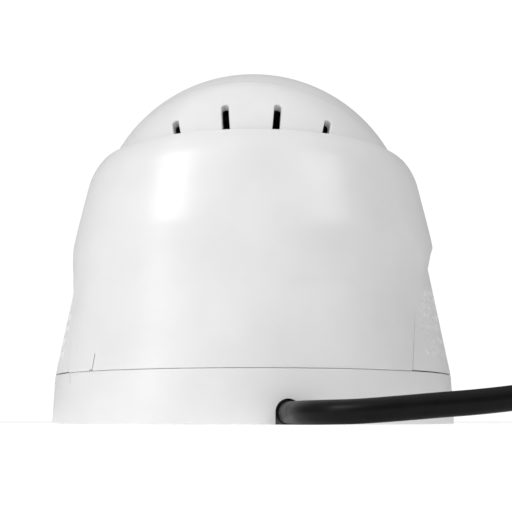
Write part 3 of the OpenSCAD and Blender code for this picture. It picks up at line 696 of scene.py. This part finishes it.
def make_rear_shell():
    """The back of the ball, with four vent slots whose edges are broken."""
    shell = ball_part("head_rear", 30, 89.9)
    lean = (Matrix.Translation((0, 0, AXIS_Z * MM)) @ Matrix.Rotation(radians(SLOT_TURN), 4, "Z")
            @ Matrix.Rotation(-LENS_TILT, 4, "X"))
    for k in (-1.5, -0.5, 0.5, 1.5):
        place = lean @ Matrix.Rotation(radians(k * SLOT_STEP), 4, "Y")
        mill = turned("slot_tool", [(44, -SLOT_HALF), (SLOT_EDGE, -SLOT_HALF), (52, -4), (52, 4),
                                    (SLOT_EDGE, SLOT_HALF), (44, SLOT_HALF)],
                      steps=24, angle=radians(SLOT_HIGH - SLOT_LOW))
        cut(shell, placed(mill, place @ LAID @ Matrix.Rotation(radians(SLOT_LOW), 4, "Z")))
        drill = turned("slot_end_tool", [(0, 44), (SLOT_HALF, 44), (SLOT_HALF, SLOT_EDGE), (4, 52), (0, 52)],
                       steps=32, closed=False)
        cut(shell, placed(drill, place @ Matrix.Rotation(radians(SLOT_HIGH - 90), 4, "X")))
    tidy_faces(shell)
    return dress(smooth(shell, 32), white_abs, "head", "white_shell", "head_rear_shell")


def make_front_shell():
    """The front of the ball, with a round opening for the window."""
    shell = ball_part("head_front", 90.1, 246)
    hole = turned("window_tool", [(0, 20), (21.4, 20), (21.4, 44.1), (25.4, 48.1), (25.4, 60), (0, 60)],
                  steps=128, closed=False)
    cut(shell, to_lens(hole))
    tidy_faces(shell)
    return dress(smooth(shell, 32), white_abs, "head", "white_shell", "head_front_shell")


def dome_line(r, end, steps=24):
    """A line from the middle of a dome out to an angle, in degrees, as (radius, height)."""
    angles = [radians(end * i / steps) for i in range(steps + 1)]
    return [(r * sin(a), r * cos(a)) for a in angles]


def make_lens():
    """Bezel, domed window, stepped lens barrel and its retaining ring."""
    bezel = turned("window_bezel", [(19.65, 39.3), (21.36, 39.3), (21.36, 43.9), (21.1, 44.25), (20.6, 44.45),
                                    (19.9, 44.8), (19.65, 44.7)], steps=128)
    dress(smooth(to_lens(bezel), 40), black_pc, "head", "black_plastic", "lens_bezel")
    outside = dome_line(49.2, 23.4)
    inside = dome_line(47.2, 24.4)
    window = turned("smoked_window", inside + outside[::-1], steps=128, closed=False)
    dress(smooth(to_lens(window), 40), smoked_acrylic, "head", "tinted_window", "front_window")
    barrel = turned("lens_barrel_turned", [
        (12.5, 6), (16.5, 6), (16.5, 8.4), (14, 8.4), (14, 30), (13.7, 30.4), (13.7, 31.4), (14, 31.8),
        (14, 33), (13.7, 33.4), (13.7, 34.4), (14, 34.8), (14, 39.7), (13.7, 40), (12.9, 40),
        (12.7, 39.6), (12.7, 39), (12.5, 38.8)], steps=96)
    dress(smooth(to_lens(barrel), 40), black_pc, "head", "black_plastic", "lens_barrel")


make_rear_shell()
make_front_shell()
make_lens()


# ---------------------------------------------------------------- boot and socket

def make_boot():
    """Moulded strain relief with ribs, growing towards the socket."""
    outline = [(2.86, 0), (3.3, 0)]
    for i in range(5):
        y = 1.2 + i * 2.4
        r = 3.4 + 1.5 * (y + 0.6) / 16
        outline += [(r, y), (r, y + 0.9), (r - 0.45, y + 1.2), (r - 0.45, y + 2.1)]
    outline += [(4.62, 13.3), (4.85, 13.5), (4.85, 15.8), (4.7, 16), (0, 16), (0, 13), (2.86, 13)]
    boot = turned("strain_relief_boot", outline, steps=48)
    place = Matrix.Translation((TAIL_X * MM, BOOT_Y * MM, BOOT_Z * MM)) @ Matrix.Rotation(pi / 2, 4, "X")
    return dress(smooth(placed(boot, place), 40), soft_pvc, "base", "black_rubber", "cable_boot")


def make_socket():
    """Inline network socket: a rounded block with its mouth, latch slot and eight contacts."""
    width, length, height = 16, 26, 13.4
    front = SOCKET_Y - length
    middle = height / 2
    body = rounded_block("inline_socket", (width, length, height), (TAIL_X, front + length / 2, middle),
                         edge=1.0, segments=4)
    cut(body, rounded_block("mouth_tool", (11.8, 14, 7), (TAIL_X, front + 6, middle), edge=0.25))
    cut(body, rounded_block("latch_tool", (6, 14, 2.4), (TAIL_X, front + 6, 2.9), edge=0.2))
    for side in (-width / 2, width / 2):
        cut(body, rounded_block("grip_tool", (0.8, 9, 8), (TAIL_X + side, front + 17, middle), edge=0.3))
    tidy_faces(body)
    dress(smooth(body, 40), black_pc, "base", "black_plastic", "network_socket")
    pin_pitch = 1.02
    pins = []
    for i in range(8):
        x = TAIL_X + (i - 3.5) * pin_pitch
        pins.append(rounded_block("pin", (0.45, 9, 0.35), (x, front + 7.5, 9.6), edge=0.1))
    return dress(smooth(join(pins, "socket_contacts"), 40), gold_plate, "base", "brass")


make_boot()
make_socket()


# ---------------------------------------------------------------- finishes of the other parts

refinish(zinc_steel, "mounting_plate", "base_screws", "pan_bearing_outer", "pan_bearing_inner", "pan_motor",
         "tilt_motor", "zoom_motor", "focus_motor", "housing_screws")
refinish(acetal, "pan_ring_gear", "pan_pinion", "tilt_ring_gear", "tilt_pinion")
refinish(circuit_board, "main_board", "control_board", "led_board", "sensor_board")
refinish(grey_nylon, "turntable", "yoke_left", "yoke_right", "head_frame")
refinish(sintered_bronze, "tilt_bushing_left", "tilt_bushing_right")
refinish(black_pc, "speaker", "filter_frame", "image_sensor", "zoom_carrier", "focus_carrier")
refinish(optical_glass, "front_lens", "infrared_leds")
refinish(milled_aluminium, "heat_sink")
refinish(filter_glass, "infrared_filter")
refinish(soft_pvc, "cable_gland")


# ---------------------------------------------------------------- floor and light

# White acrylic, lit a little from within so that it stays plain and pale.
clear_selection()
bpy.ops.mesh.primitive_plane_add(size=8)
floor = bpy.context.object
floor.name = "studio_floor"
acrylic, tree, shader = finish_named("backlit_white_acrylic")
place = add(tree, "ShaderNodeTexCoord").outputs["Object"]
cloud = add(tree, "ShaderNodeTexNoise", {"Scale": 1000 / 3, "Detail": 3.0}, Vector=place)
tone = ramp(tree, cloud.outputs["Fac"], [(0.3, "#FBFBFB"), (0.7, "#FDFDFD")])
tree.links.new(tone, shader.inputs["Base Color"])
set_shader(shader, Roughness=0.9, Emission_Color=linear("#FFFFFF"), Emission_Strength=0.34)
floor.data.materials.append(acrylic)


def softbox(name, power, size, place, target=(0, 0, 0.055)):
    """A rectangular soft light that looks at the target; metres and watts."""
    lamp = bpy.data.lights.new(name, "AREA")
    lamp.shape = "RECTANGLE"
    lamp.size, lamp.size_y = size
    lamp.energy = power
    holder = bpy.data.objects.new(name, lamp)
    bpy.context.scene.collection.objects.link(holder)
    holder.location = place
    holder.rotation_euler = (Vector(target) - Vector(place)).to_track_quat("-Z", "Y").to_euler()
    return holder


def round_object(turn, rise, distance):
    """A place round the object: degrees to the left of the camera, degrees up, metres away."""
    a = radians(turn) - VIEW_TURN
    level = distance * cos(radians(rise))
    return sin(a) * level, cos(a) * level, 0.06 + distance * sin(radians(rise))


softbox("key_left", 4.6, (0.32, 0.44), round_object(57, 35, 1.2))
softbox("key_left_low", 1.1, (0.34, 0.26), round_object(57, 9, 1.2))
softbox("fill_right", 2.6, (0.50, 0.50), round_object(-48, 34, 1.2))
softbox("top", 11.6, (2.2, 2.2), (0.1, 0.3, 1.6))

# A white backdrop, which the camera sees, and a dimmer room that lights the object.
world = bpy.data.worlds.new("studio_world")
bpy.context.scene.world = world
world.use_nodes = True
sky = world.node_tree
room = sky.nodes["Background"]
room.inputs["Color"].default_value = linear("#F4F4F4")
room.inputs["Strength"].default_value = 0.32
backdrop = add(sky, "ShaderNodeBackground", {"Color": (1, 1, 1, 1), "Strength": 1.05})
seen = add(sky, "ShaderNodeLightPath")
chosen = add(sky, "ShaderNodeMixShader", {}, Fac=seen.outputs["Is Camera Ray"], _1=room.outputs["Background"],
             _2=backdrop.outputs["Background"])
sky.links.new(chosen.outputs["Shader"], sky.nodes["World Output"].inputs["Surface"])
bpy.context.scene.view_settings.view_transform = "Standard"
